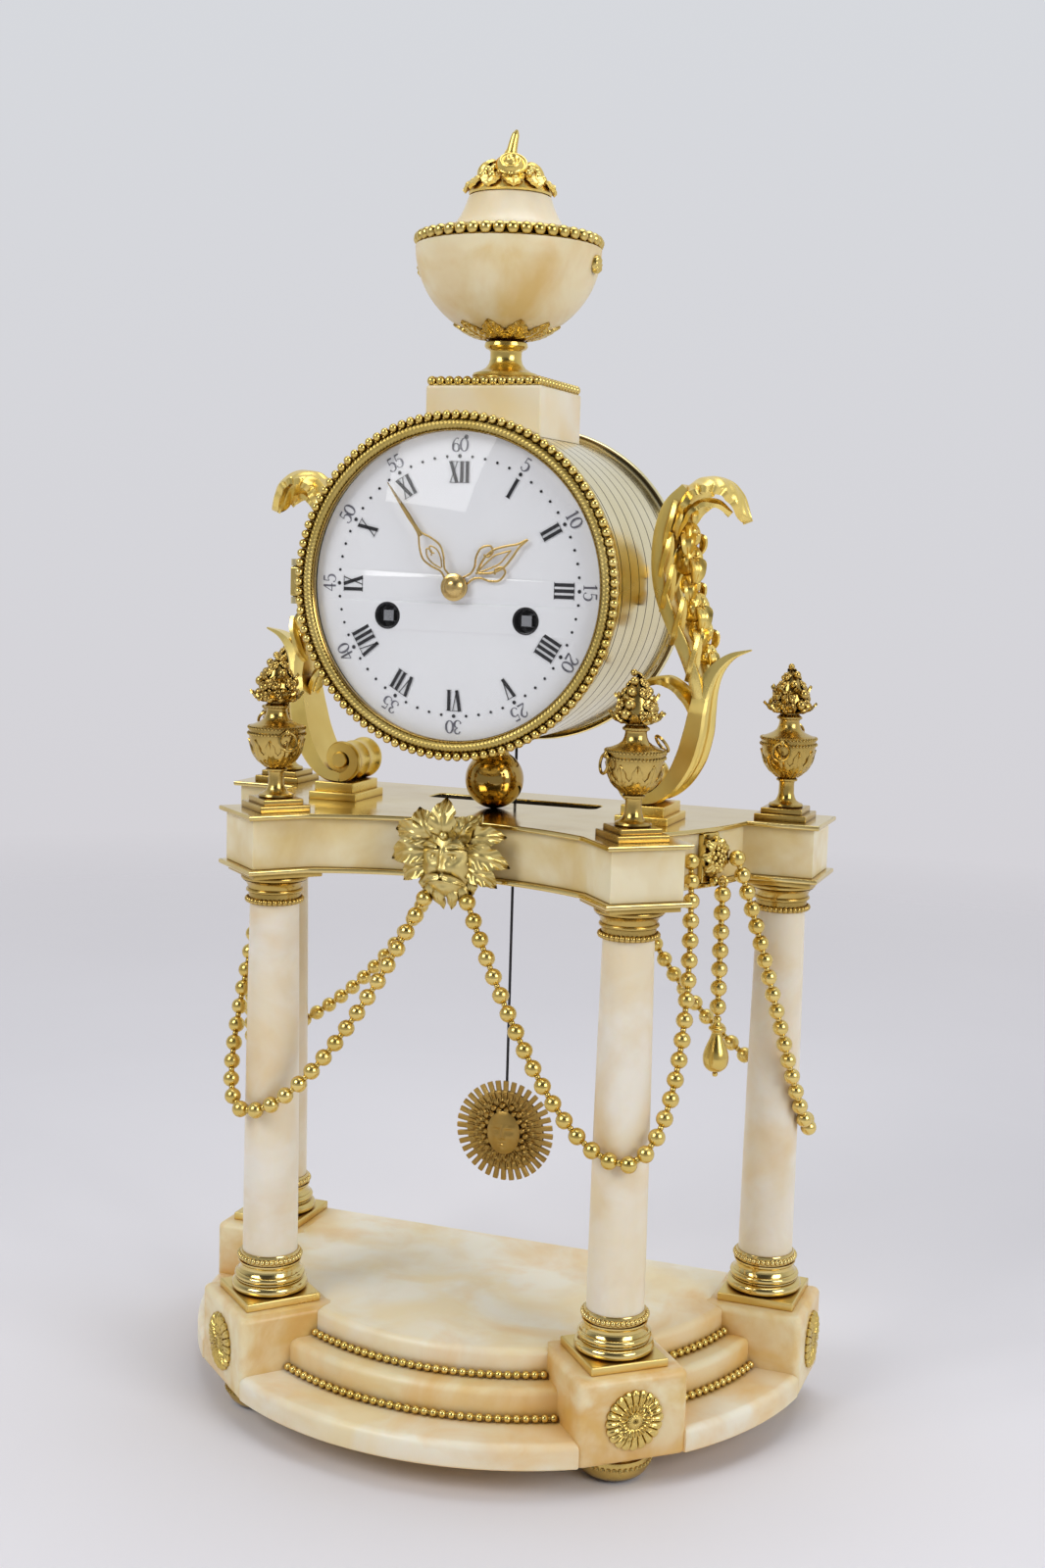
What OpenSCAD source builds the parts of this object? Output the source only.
// Portico mantel clock: a drum movement on a marble frieze carried by four columns.
// Millimetres, +Z up, the dial faces -Y, origin at the middle of the footprint on the floor.

/* [Base] */
// Radius of the rounded front of the base
base_r = 138.5; // [132:0.5:150]
// Distance from the column circle's centre to the straight back
base_back = 18; // [17:0.5:20]
// Height of the bun feet
foot_h = 12.2; // [9:0.1:16]
// Diameter of the bun feet
foot_d = 30; // [24:0.5:32]
// Distance of the feet's middles outside the columns' middles
foot_out = 2.7; // [0:0.1:4]
// Thickness of the bottom slab
slab_h = 10.3; // [8:0.1:14]
// Thickness of the middle step
step_h = 12.6; // [9:0.1:15]
// Thickness of the platform under the columns
platform_h = 11.3; // [9:0.1:15]
// Depth of the tread in front of the middle step
step_tread = 21.2; // [18:0.1:24]
// Depth of the tread in front of the platform
platform_tread = 11.6; // [8:0.1:14]
// Width of the pedestal block under each column
block_w = 46; // [42:0.5:48]
// Depth of the pedestal block under each column
block_d = 43; // [40:0.5:46]
// Diameter of the rosettes on the blocks
rosette_d = 24; // [18:0.5:28]
// Thickness of the rosettes
rosette_t = 2.4; // [1.5:0.1:3]
// Thickness of the bead strings on the steps
string_d = 3.6; // [2.4:0.1:4.5]

/* [Columns] */
// Distance from the rounded front of the base to the columns' middles
column_inset = 23.2; // [22:0.1:24]
// Angle of the front columns from the middle of the front
column_angle = 41; // [38:0.5:43]
// Side of the square plate under each column
column_plate_side = 32.4; // [30:0.1:34]
// Thickness of that plate
column_plate_t = 3.4; // [2:0.1:4]
// Height of the turned column base above its plate
column_base_h = 16.6; // [14:0.1:20]
// Height of the marble shaft
shaft_h = 147; // [120:0.5:180]
// Radius of the shaft at its foot
shaft_r_foot = 11.4; // [10.6:0.1:12]
// Radius of the shaft at its head
shaft_r_head = 10; // [9:0.1:10.4]
// Height of the capital
capital_h = 14.2; // [12:0.1:18]
// Diameter of the tie rod inside each column
tie_rod_d = 5; // [4:0.1:6]

/* [Frieze] */
// Distance from the columns' middles in to the marble frieze between its blocks
frieze_inset = 12.8; // [11.8:0.1:15]
// Height of the marble frieze
frieze_h = 20.1; // [16:0.1:26]
// Width of the frieze block above each column
frieze_block_w = 30; // [28:0.1:32]
// Reach of the frieze blocks past the columns' middles
frieze_block_out = 15.4; // [14:0.1:16.5]
// Depth of the hollow in the front of the frieze
frieze_hollow_depth = 27; // [25:0.1:29]
// Radius of the hollow front
frieze_hollow_r = 121; // [115:1:140]
// Distance from the column circle's centre to the back of the frieze
frieze_back = 15; // [14.5:0.1:15.5]
// Thickness of the gilt plates above and below the frieze
plate_t = 2; // [1.2:0.1:2.6]
// Overhang of the gilt plates
plate_overhang = 2.5; // [1.5:0.1:3]
// Half length of the pendulum slot
slot_half = 38; // [26:0.5:42]
// Width of the pendulum slot
slot_w = 14; // [9:0.5:16]

/* [Drum] */
// Radius of the drum case
drum_r = 64; // [63.5:0.1:65]
// Wall of the drum case
drum_wall = 1.6; // [1.2:0.1:2]
// Front edge of the drum, from the column circle's centre
drum_front = -84.5; // [-87:0.1:-83]
// Length of the drum case
drum_len = 95; // [93:0.1:98]
// Radius of the ball under the drum
ball_r = 12.2; // [10:0.1:14]
// Thickness of the saddle above the ball
ball_saddle_h = 3.8; // [2.4:0.1:5]
// Reach of the bead ring on the front bezel past the drum case
bezel_over = 3.5; // [3:0.1:4]
// Gap between the enamel dial and the drum's wall
dial_gap = 1.9; // [1.4:0.1:2.4]
// Thickness of the dial
dial_t = 1.6; // [1.2:0.1:2]
// Depth of the dial behind the drum's front edge
dial_inset = 1; // [0.8:0.1:1.4]
// Rise of the domed glass
glass_rise = 11; // [8:0.1:13]
// Thickness of the glass
glass_t = 1.5; // [1.2:0.1:1.8]

/* [Movement] */
// Gap between the dial and the front plate
motion_gap = 7.4; // [7.2:0.1:8]
// Thickness of the movement plates
movement_plate_t = 2; // [1.6:0.1:2.4]
// Space between the movement plates
movement_space = 34; // [33.5:0.1:36]
// Gap between the movement plates and the drum's wall
movement_gap = 6.4; // [5.4:0.1:7]
// Sideways distance of the winding squares from the dial's centre
winding_x = 29; // [28.6:0.1:29.4]
// Distance of the winding squares below the dial's centre
winding_drop = 12; // [11.6:0.1:12.4]
// Side of the winding squares
winding_square = 4.2; // [3.6:0.1:4.4]
// Radius of the winding holes in the dial
winding_hole_r = 5.3; // [4.8:0.1:6]
// Tip radius of the wheel on each spring barrel
barrel_wheel_r = 22; // [21.6:0.1:22.4]
// Plane of the pendulum, from the column circle's centre
pendulum_y = -11.6; // [-12.6:0.1:-11]
// Distance from the pendulum's pivot to the middle of its bob
pendulum_len = 281; // [240:0.5:300]
// Radius of the sunburst bob
bob_r = 22.3; // [18:0.1:26]
// Thickness of the sunburst bob
bob_t = 1.6; // [1.2:0.1:2.4]
// Number of rays on the bob
bob_rays = 38; // [24:1:44]
// Length of the minute hand
minute_hand_len = 49; // [44:0.5:51]
// Length of the hour hand
hour_hand_len = 35; // [28:0.5:40]

/* [Urn] */
// Side of the marble pedestal on the drum
pedestal_side = 49; // [44:0.5:54]
// Height of the pedestal above the drum
pedestal_h = 15.2; // [12:0.1:20]
// Height of the urn's gilt foot
urn_foot_h = 22; // [18:0.1:26]
// Height of the marble bowl
urn_bowl_h = 34; // [30:0.1:38]
// Radius of the bowl's rim
urn_r = 37.5; // [34:0.1:40]
// Height of the beaded collar
urn_collar_h = 5; // [4:0.1:6]
// Height of the lid
urn_lid_h = 15.4; // [12:0.1:18]
// Height of the fruit finial
finial_h = 26; // [20:0.1:32]

/* [Ornaments] */
// Height of the small urns on the frieze
corner_urn_h = 64; // [54:0.5:72]
// Side of the small urns' plinths
corner_urn_side = 22; // [18:0.5:24]
// Diameter of the swag beads
bead_d = 6.2; // [5:0.1:6.4]
// Distance between the swag beads
bead_pitch = 7.6; // [7.2:0.1:9]
// Diameter of the wire through the beads
bead_wire_d = 1.8; // [1.2:0.1:2.2]
// Width of the scroll brackets beside the drum
scroll_w = 22; // [16:0.5:24]
// Angle of the side straps from the middle of the front
strap_angle = 65.5; // [64.5:0.5:66.5]
// Diameter of the rosettes on the side straps
strap_rosette_d = 13; // [11:0.5:14]

/* [Fits] */
// Gap between a running shaft and its hole
running_gap = 0.05; // [0.03:0.01:0.08]
// Gap between parts that only stand near each other
seat_gap = 0.2; // [0.1:0.05:0.3]
// Gap between the tips of two wheels that turn together
mesh_gap = 0.4; // [0.3:0.05:0.6]

/* [Hidden] */
$fn = 48;

marble = "#f1e2c4";
gilt = "#d9a93c";
brass = "#c9a24a";
steel = "#6b6d72";
enamel = "#f6f5f2";
crystal = "#cfe0e6";

// Where the column circle's centre lies in the part's frame
axis_y = (base_r - base_back) / 2;

// Radii of the base, the columns and the frieze
step_r = base_r - step_tread;
platform_r = step_r - platform_tread;
column_circle_r = base_r - column_inset;
frieze_r = column_circle_r - frieze_inset;
frieze_block_reach = column_circle_r + frieze_block_out;
frieze_front = frieze_r - frieze_hollow_depth;

// Levels of the base, the columns and the frieze
step_z = foot_h + slab_h;
platform_z = step_z + step_h;
floor_z = platform_z + platform_h;
turning_z = floor_z + column_plate_t;
shaft_z = turning_z + column_base_h;
capital_z = shaft_z + shaft_h;
lower_plate_z = capital_z + capital_h;
frieze_z = lower_plate_z + plate_t;
top_plate_z = frieze_z + frieze_h;
deck_z = top_plate_z + plate_t;

// Levels of the drum and the urn
ball_z = deck_z + ball_r;
drum_z = ball_z + ball_r + ball_saddle_h + drum_r;
pedestal_z = drum_z + drum_r + pedestal_h;
urn_bowl_z = pedestal_z + urn_foot_h;
urn_collar_z = urn_bowl_z + urn_bowl_h;
urn_lid_z = urn_collar_z + urn_collar_h;
finial_z = urn_lid_z + urn_lid_h;

// Depths inside the drum
drum_back = drum_front + drum_len;
drum_mid = drum_front + drum_len / 2;
drum_inner_r = drum_r - drum_wall;
bezel_r = drum_r + bezel_over;
dial_r = drum_inner_r - dial_gap;
movement_r = drum_inner_r - movement_gap;
dial_y = drum_front + dial_inset;
dial_back = dial_y + dial_t;
front_plate_y = dial_back + motion_gap;
front_inner = front_plate_y + movement_plate_t;
back_inner = front_inner + movement_space;
back_outer = back_inner + movement_plate_t;

// Column angles, left to right
column_angles = [-90, -column_angle, column_angle, 90];
block_face = sqrt(base_r * base_r - block_w * block_w / 4);
block_back = block_face - block_d;
rod_bore = tie_rod_d / 2 + seat_gap;
rod_foot = foot_h + 1;
rod_head = deck_z + 4;
nut_r = 5;
nut_h = 4;

// Moves a piece from the column circle's centre to the part's frame
module place() {
    translate([0, axis_y, 0]) children();
}

module at_columns() {
    for (a = column_angles) {
        rotate([0, 0, a]) translate([0, -column_circle_r, 0]) children();
    }
}

// A cylinder along Y
module along_y(y0, y1, r) {
    translate([0, y0, 0]) rotate([-90, 0, 0]) cylinder(r = r, h = y1 - y0);
}

// Moves to an arbor of the movement, given across and above the dial's centre
module at_arbor(p) {
    translate([p[0], 0, drum_z + p[1]]) children();
}

// A cylinder between two points
module link(a, b, r) {
    d = b - a;
    len = norm(d);
    translate(a) rotate([0, acos(d[2] / len), atan2(d[1], d[0])]) cylinder(r = r, h = len);
}

// A point on a cubic curve, and an outline along several of them
function curve(p, t) =
    pow(1 - t, 3) * p[0] + 3 * pow(1 - t, 2) * t * p[1] + 3 * (1 - t) * t * t * p[2] + t * t * t * p[3];
function outline(curves, n) = [for (c = curves) for (i = [0 : n - 1]) curve(c, i / n)];

// A half-disc plan with a straight back
module plan_d(r, back) {
    intersection() {
        circle(r = r);
        translate([-r, -r]) square([2 * r, r + back]);
    }
}

module block_plan(reach) {
    intersection() {
        for (a = column_angles) {
            rotate(a) translate([-block_w / 2, -reach]) square([block_w, reach - block_back]);
        }
        translate([-base_r, -base_r]) square([2 * base_r, base_r + base_back]);
    }
}

// Feet: turned bowls with a beaded rim
foot_pad_r = 0.3 * foot_d;
foot_curve_r = 0.6 * foot_h;
foot_rim_r = 1.4;
module feet() {
    color(gilt) place() for (a = column_angles) {
        rotate([0, 0, a]) translate([0, -column_circle_r - foot_out, 0]) rotate_extrude() {
            square([foot_pad_r, foot_h]);
            intersection() {
                translate([foot_d / 2 - foot_curve_r, foot_curve_r]) circle(r = foot_curve_r);
                square([foot_d, 0.8 * foot_h]);
            }
            square([foot_d / 2 - foot_curve_r, foot_h]);
            translate([0, foot_h - 2 * foot_rim_r]) square([foot_d / 2 - foot_rim_r, 2 * foot_rim_r]);
            translate([foot_d / 2 - foot_rim_r, foot_h - foot_rim_r]) circle(r = foot_rim_r);
        }
    }
}

// Base: three half-disc slabs cut round the four pedestal blocks
module base_layer(r, z, h) {
    translate([0, 0, z]) linear_extrude(h) difference() {
        plan_d(r, base_back);
        block_plan(base_r + 1);
    }
}

module base_slab() {
    color(marble) place() base_layer(base_r, foot_h, slab_h);
}

module base_step() {
    color(marble) place() base_layer(step_r, step_z, step_h);
}

module base_platform() {
    color(marble) place() base_layer(platform_r, platform_z, platform_h);
}

module base_blocks() {
    color(marble) place() difference() {
        translate([0, 0, foot_h]) linear_extrude(floor_z - foot_h) block_plan(block_face);
        at_columns() {
            cylinder(r = rod_bore, h = floor_z + 1);
            cylinder(r = nut_r + seat_gap, h = rod_foot + nut_h + seat_gap);
        }
    }
}

// Rosettes: daisies on the faces of the blocks
petal_n = 14;
module daisy(d, t) {
    petal_r = 0.16 * d;
    rotate([90, 0, 0]) {
        linear_extrude(0.6 * t) {
            circle(r = d / 2 - petal_r);
            for (i = [1 : petal_n]) {
                rotate(360 * i / petal_n) translate([d / 2 - petal_r, 0]) circle(r = petal_r);
            }
        }
        cylinder(r = 0.2 * d, h = t);
    }
}

rosette_z = (foot_h + floor_z) / 2;
module base_rosettes() {
    color(gilt) place() {
        for (a = column_angles) {
            rotate([0, 0, a]) translate([0, -block_face, rosette_z]) daisy(rosette_d, rosette_t);
        }
    }
}

// Bead strings along the foot of the two upper steps, between the blocks
string_end = 1.5;
module string_arc(r, z, from, to) {
    translate([0, 0, z + string_d / 2]) rotate([0, 0, from - 90])
        rotate_extrude(angle = to - from) translate([r, 0]) circle(d = string_d);
}

module string_row(r, z) {
    half = asin((block_w / 2 + string_end) / r);
    string_arc(r, z, half - column_angle, column_angle - half);
    for (side = [0, 1]) {
        mirror([side, 0, 0]) string_arc(r, z, column_angle + half, 90 - half);
    }
}

module step_bead_strings() {
    color(gilt) place() {
        string_row(step_r + string_d / 2 + seat_gap / 2, step_z);
        string_row(platform_r + string_d / 2 + seat_gap / 2, platform_z);
    }
}

// Columns: a moulded base on a square plate, a tapered shaft and a moulded capital
module column_bases() {
    ring_r = 0.155 * column_base_h;
    color(gilt) place() at_columns() translate([0, 0, floor_z]) difference() {
        union() {
            translate([-column_plate_side / 2, -column_plate_side / 2, 0])
                cube([column_plate_side, column_plate_side, column_plate_t]);
            translate([0, 0, column_plate_t]) rotate_extrude() {
                square([shaft_r_foot + 1.2, column_base_h]);
                translate([shaft_r_foot + 1.6, ring_r]) circle(r = ring_r);
                square([shaft_r_foot + 1.6, 2 * ring_r]);
                translate([shaft_r_foot + 1, 3.1 * ring_r]) circle(r = 0.7 * ring_r);
                translate([shaft_r_foot + 0.9, column_base_h - 0.6 * ring_r]) circle(r = 0.6 * ring_r);
            }
        }
        translate([0, 0, -1]) cylinder(r = rod_bore, h = turning_z + column_base_h + 2);
    }
}

module column_shafts() {
    color(marble) place() at_columns() translate([0, 0, shaft_z]) difference() {
        cylinder(r1 = shaft_r_foot, r2 = shaft_r_head, h = shaft_h, $fn = 96);
        translate([0, 0, -1]) cylinder(r = rod_bore, h = shaft_h + 2);
    }
}

module column_capitals() {
    bead_r = 0.1 * capital_h;
    abacus_side = frieze_block_w - 0.6;
    abacus_t = 0.15 * capital_h;
    bell_r = shaft_r_head + 3.7;
    color(gilt) place() at_columns() translate([0, 0, capital_z]) difference() {
        union() {
            rotate_extrude() {
                square([shaft_r_head + 0.7, capital_h]);
                translate([shaft_r_head, bead_r]) circle(r = bead_r);
                translate([shaft_r_head, 0.42 * capital_h]) circle(r = 1.1 * bead_r);
                polygon([
                    [0, 0.5 * capital_h], [shaft_r_head + 1, 0.5 * capital_h],
                    [bell_r, 0.72 * capital_h], [bell_r, 0.9 * capital_h], [0, 0.9 * capital_h]
                ]);
            }
            translate([-abacus_side / 2, -abacus_side / 2, capital_h - abacus_t])
                cube([abacus_side, abacus_side, abacus_t]);
        }
        translate([0, 0, -1]) cylinder(r = rod_bore, h = capital_h + 2);
    }
}

// Tie rods from a nut in each block, through the column and frieze, into the small urn
module tie_rods() {
    color(steel) place() at_columns() {
        translate([0, 0, rod_foot]) cylinder(d = tie_rod_d, h = rod_head - rod_foot);
        translate([0, 0, rod_foot]) cylinder(r = nut_r, h = nut_h, $fn = 6);
    }
}

// Frieze: a half-disc with a hollow front and a block over each column
module frieze_plan(over) {
    difference() {
        intersection() {
            union() {
                difference() {
                    circle(r = frieze_r + over);
                    translate([0, -frieze_front - frieze_hollow_r])
                        circle(r = frieze_hollow_r - over, $fn = 96);
                }
                for (a = column_angles) {
                    rotate(a) translate([-frieze_block_w / 2 - over, -frieze_block_reach - over])
                        square([frieze_block_w + 2 * over, frieze_block_reach + over - block_back]);
                }
            }
            translate([-base_r, -base_r]) square([2 * base_r, base_r + frieze_back + over]);
        }
        translate([-slot_half, pendulum_y - slot_w / 2]) square([2 * slot_half, slot_w]);
        for (a = column_angles) {
            rotate(a) translate([0, -column_circle_r]) circle(r = rod_bore);
        }
    }
}

module frieze_lower_plate() {
    color(gilt) place() translate([0, 0, lower_plate_z]) linear_extrude(plate_t) frieze_plan(plate_overhang);
}

module frieze() {
    color(marble) place() translate([0, 0, frieze_z]) linear_extrude(frieze_h) frieze_plan(0);
}

module frieze_top_plate() {
    color(gilt) place() translate([0, 0, top_plate_z]) linear_extrude(plate_t) frieze_plan(plate_overhang);
}

// Mask: a domed face among leaves, on the hollow front
mask_z = frieze_z + 0.5 * frieze_h;
mask_face_r = 13;
mask_depth = 11;
mask_beard_r = 10;
mask_beard_drop = 11;
mask_leaf_len = 24;
mask_leaf_w = 11;
mask_leaf_t = 3;
mask_leaf_angles = [8, 38, 68, 90, 112, 142, 172];
module leaf(len, w) {
    r = (len * len / 4 + w * w / 4) / w;
    intersection() {
        translate([len / 2, r - w / 2]) circle(r = r);
        translate([len / 2, w / 2 - r]) circle(r = r);
    }
}

// The mask's flat back stands clear of the plates' hollow edges, on a stud that reaches the marble
function hollow_rise(r, x) = r - sqrt(r * r - x * x);
mask_stud = plate_overhang + hollow_rise(frieze_hollow_r - plate_overhang, mask_leaf_len) + seat_gap;
mask_stud_len = mask_stud - hollow_rise(frieze_hollow_r, mask_face_r / 2) - running_gap;
module frieze_mask() {
    back_y = -frieze_front - mask_stud;
    color(gilt) place() translate([0, back_y, mask_z]) {
        rotate([90, 0, 0]) {
            linear_extrude(mask_leaf_t) {
                for (a = mask_leaf_angles) {
                    rotate(a) translate([mask_face_r / 2, 0])
                        leaf(mask_leaf_len - mask_face_r / 2, mask_leaf_w);
                }
                translate([0, -mask_beard_drop]) circle(r = mask_beard_r);
                circle(r = mask_face_r);
            }
            intersection() {
                translate([0, 0, mask_depth - mask_face_r - 3]) sphere(r = mask_face_r + 3);
                cylinder(r = mask_face_r, h = mask_depth);
            }
            translate([0, -mask_beard_drop, 0])
                cylinder(r1 = mask_beard_r, r2 = mask_beard_r / 2, h = 0.7 * mask_depth);
        }
        translate([-mask_face_r / 2, 0, -0.3 * frieze_h])
            cube([mask_face_r, mask_stud_len, 0.6 * frieze_h]);
    }
}

// Side straps: a flat bar on the frieze with a rosette and the eye that a bead drop hangs from
strap_w = 10;
strap_t = 2.2;
strap_rosette_t = 4.3;
strap_face = frieze_r + strap_t + strap_rosette_t;
drop_reach = strap_face + 2.6;
drop_pin_r = 0.8;
drop_eye_r = 2;
drop_eye_t = 2.4;
ear_t = 1.2;
strap_z = frieze_z + 0.5 * frieze_h;
drop_z = strap_z - strap_rosette_d / 2 - 2.6;
swag_step = 7.6;
swag_pin_r = 1.3;
swag_pin_h = 1.8;
module strap_right() {
    ear_in = drop_eye_t / 2 + seat_gap;
    rotate([0, 0, strap_angle]) {
        difference() {
            translate([-strap_w / 2, -frieze_r - strap_t, frieze_z]) cube([strap_w, strap_t + 1, frieze_h]);
            cylinder(r = frieze_r, h = deck_z, $fn = 96);
        }
        translate([0, -frieze_r - strap_t, strap_z]) rotate([90, 0, 0])
            cylinder(d = strap_rosette_d, h = strap_rosette_t);
        for (side = [0, 1]) {
            mirror([side, 0, 0]) translate([ear_in, -drop_reach - 1.4, drop_z - 1.4])
                cube([ear_t, drop_reach + 1.4 - strap_face + 2, strap_z - drop_z]);
        }
        translate([-ear_in - ear_t, -drop_reach, drop_z]) rotate([0, 90, 0])
            cylinder(r = drop_pin_r, h = 2 * (ear_in + ear_t));
    }
    translate([0, 0, strap_z]) rotate([0, 0, strap_angle - swag_step]) rotate([90, 0, 0]) difference() {
        cylinder(r = swag_pin_r, h = frieze_r + swag_pin_h);
        cylinder(r = 2 * swag_pin_r, h = frieze_r);
    }
}

module side_straps() {
    color(gilt) place() {
        strap_right();
        mirror([1, 0, 0]) strap_right();
    }
}

// Bead drops: a short string of beads and a pear, on an eye
drop_beads = 7;
pear_r = 5.2;
pear_len = 26;
module drop_right_shape() {
    bead_r = bead_d / 2;
    bead_top = drop_z - drop_eye_r - bead_r + 0.4;
    bead_low = bead_top - (drop_beads - 1) * bead_pitch;
    pear_z = bead_low - bead_r - pear_len + 2 * pear_r;
    rotate([0, 0, strap_angle]) translate([0, -drop_reach, 0]) {
        difference() {
            union() {
                translate([-drop_eye_t / 2, 0, drop_z]) rotate([0, 90, 0])
                    cylinder(r = drop_eye_r, h = drop_eye_t);
                for (i = [0 : drop_beads - 1]) {
                    translate([0, 0, bead_top - i * bead_pitch]) sphere(r = bead_r);
                }
                translate([0, 0, pear_z]) cylinder(d = bead_wire_d, h = drop_z - drop_eye_r / 2 - pear_z - 1);
                translate([0, 0, pear_z]) sphere(r = pear_r);
                translate([0, 0, pear_z + 0.5 * pear_r])
                    cylinder(r1 = 0.866 * pear_r, r2 = 1.6, h = pear_len - 2.5 * pear_r);
            }
            translate([-drop_eye_t, 0, drop_z]) rotate([0, 90, 0])
                cylinder(r = drop_pin_r + running_gap, h = 2 * drop_eye_t);
        }
    }
}

module drop_right() {
    color(gilt) place() drop_right_shape();
}

module drop_left() {
    color(gilt) place() mirror([1, 0, 0]) drop_right_shape();
}

// Swags: beads strung along hanging curves
function route(curves, n) =
    concat([for (c = curves) for (i = [0 : n - 1]) curve(c, i / n)], [curve(curves[len(curves) - 1], 1)]);
function lengths(p) =
    [for (i = 0, s = 0; i < len(p); s = s + (i < len(p) - 1 ? norm(p[i + 1] - p[i]) : 0), i = i + 1) s];
function stop(p, s, d) = [for (k = [0 : 2]) lookup(d, [for (i = [0 : len(p) - 1]) [s[i], p[i][k]]])];
function stops(p, s, n) = [for (i = [0 : n]) stop(p, s, s[len(s) - 1] * i / n)];

module strung_beads(curves) {
    p = route(curves, 24);
    s = lengths(p);
    n = floor(s[len(s) - 1] / bead_pitch);
    beads = stops(p, s, n);
    for (i = [0 : n]) {
        way = beads[min(i + 1, n)] - beads[max(i - 1, 0)];
        translate(beads[i]) rotate([asin(way[2] / norm(way)), 0, atan2(way[1], way[0]) - 90])
            sphere(d = bead_d);
    }
    for (i = [0 : n - 1]) {
        link(beads[i], beads[i + 1], bead_wire_d / 2);
    }
}

// Points of the swags, set from the columns that they hang round
swag_out = shaft_r_foot + bead_d / 2 + 0.6;
front_x = column_circle_r * sin(column_angle);
front_y = -column_circle_r * cos(column_angle);
strap_out = strap_face + bead_d / 2 + 0.5;
pin_out = frieze_r + swag_pin_h + bead_d / 2 + 0.3;
function side_point(angle, out) = [out * sin(angle), -out * cos(angle), strap_z];
front_end = side_point(strap_angle - swag_step, pin_out);
back_end = side_point(strap_angle + swag_step / 2, strap_out);
mask_hang_in = 1;
mask_hang = [
    0.76 * (mask_beard_r + bead_d / 2 - mask_hang_in),
    -frieze_front - mask_stud - 0.6 * mask_depth,
    mask_z - mask_beard_drop - 0.65 * (mask_beard_r + bead_d / 2 - mask_hang_in)
];
front_low = [front_x + 0.42 * swag_out, front_y - 0.93 * swag_out, lower_plate_z - 99];
back_low = [column_circle_r + 1.02 * swag_out, 3, lower_plate_z - 107];
back_turn = [column_circle_r - 3, 0.96 * swag_out, lower_plate_z - 91];
back_hang = [40, frieze_back - 1, lower_plate_z - bead_d / 2 - 0.4];
swag_front_curves = [
    [mask_hang, mask_hang + [20, -6, -44], front_low + [-24, -4, -1], front_low],
    [front_low, front_low + [14, 4, 1.5], front_end + [8, -16, -76], front_end]
];
swag_back_curves = [
    [back_end, back_end + [10, 15, -38], back_low + [-1.5, -17, 8], back_low],
    [back_low, back_low + [1, 8, -3.8], back_turn + [10, 0.2, -6], back_turn],
    [back_turn, back_turn + [-16.3, -0.2, 9.8], back_hang + [22, 0.4, -54], back_hang]
];

module swag_front_right() {
    color(gilt) place() strung_beads(swag_front_curves);
}

module swag_front_left() {
    color(gilt) place() mirror([1, 0, 0]) strung_beads(swag_front_curves);
}

module swag_back_right() {
    color(gilt) place() strung_beads(swag_back_curves);
}

module swag_back_left() {
    color(gilt) place() mirror([1, 0, 0]) strung_beads(swag_back_curves);
}

// Small urns: a plinth, a stemmed bowl and a bouquet, with a blind hole for the tie rod
module corner_urns() {
    h = corner_urn_h;
    lobe_n = 7;
    bud_n = 5;
    color(gilt) place() at_columns() translate([0, 0, deck_z]) difference() {
        union() {
            translate([-corner_urn_side / 2, -corner_urn_side / 2, 0])
                cube([corner_urn_side, corner_urn_side, 0.04 * h]);
            translate([-0.4 * corner_urn_side, -0.4 * corner_urn_side, 0])
                cube([0.8 * corner_urn_side, 0.8 * corner_urn_side, 0.077 * h]);
            rotate_extrude() {
                square([0.05 * h, 0.72 * h]);
                polygon([
                    [0, 0.07 * h], [0.1 * h, 0.07 * h], [0.1 * h, 0.1 * h],
                    [0.05 * h, 0.14 * h], [0, 0.14 * h]
                ]);
                translate([0.1 * h, 0.09 * h]) circle(r = 0.015 * h);
                translate([0.05 * h, 0.25 * h]) circle(r = 0.014 * h);
                intersection() {
                    translate([0, 0.465 * h]) circle(r = 0.205 * h);
                    translate([0, 0.2 * h]) square([0.178 * h, 0.3 * h]);
                }
                translate([0.175 * h, 0.5 * h]) circle(r = 0.018 * h);
                translate([0, 0.48 * h]) square([0.175 * h, 0.038 * h]);
                polygon([
                    [0, 0.51 * h], [0.165 * h, 0.51 * h], [0.09 * h, 0.54 * h], [0.065 * h, 0.57 * h],
                    [0.06 * h, 0.65 * h], [0, 0.65 * h]
                ]);
                translate([0.063 * h, 0.645 * h]) circle(r = 0.014 * h);
            }
            translate([0, 0, 0.77 * h]) sphere(r = 0.11 * h);
            translate([0, 0, 0.8 * h]) cylinder(r1 = 0.085 * h, r2 = 0.03 * h, h = 0.16 * h);
            translate([0, 0, 0.95 * h]) sphere(r = 0.05 * h);
            for (i = [1 : lobe_n]) {
                rotate([0, 0, 360 * i / lobe_n]) translate([0.095 * h, 0, 0.745 * h]) sphere(r = 0.055 * h);
            }
            for (i = [1 : bud_n]) {
                rotate([0, 0, 360 * i / bud_n]) translate([0.05 * h, 0, 0.86 * h]) sphere(r = 0.05 * h);
            }
        }
        translate([0, 0, -1]) cylinder(r = rod_bore, h = rod_head - deck_z + 1 + seat_gap);
    }
}

// Ball between the frieze and the drum, with a small seat and a saddle
module ball_support() {
    seat_r = 0.33 * ball_r;
    saddle_r = 0.5 * ball_r;
    color(gilt) place() translate([0, drum_mid, 0]) difference() {
        union() {
            translate([0, 0, ball_z]) sphere(r = ball_r, $fn = 96);
            translate([0, 0, deck_z]) cylinder(r = seat_r, h = 0.25 * ball_r);
            translate([0, 0, ball_z + 0.75 * ball_r])
                cylinder(r = saddle_r, h = ball_saddle_h + 0.5 * ball_r);
        }
        translate([0, -drum_len, drum_z]) along_y(0, 2 * drum_len, drum_r + running_gap);
    }
}

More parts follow.
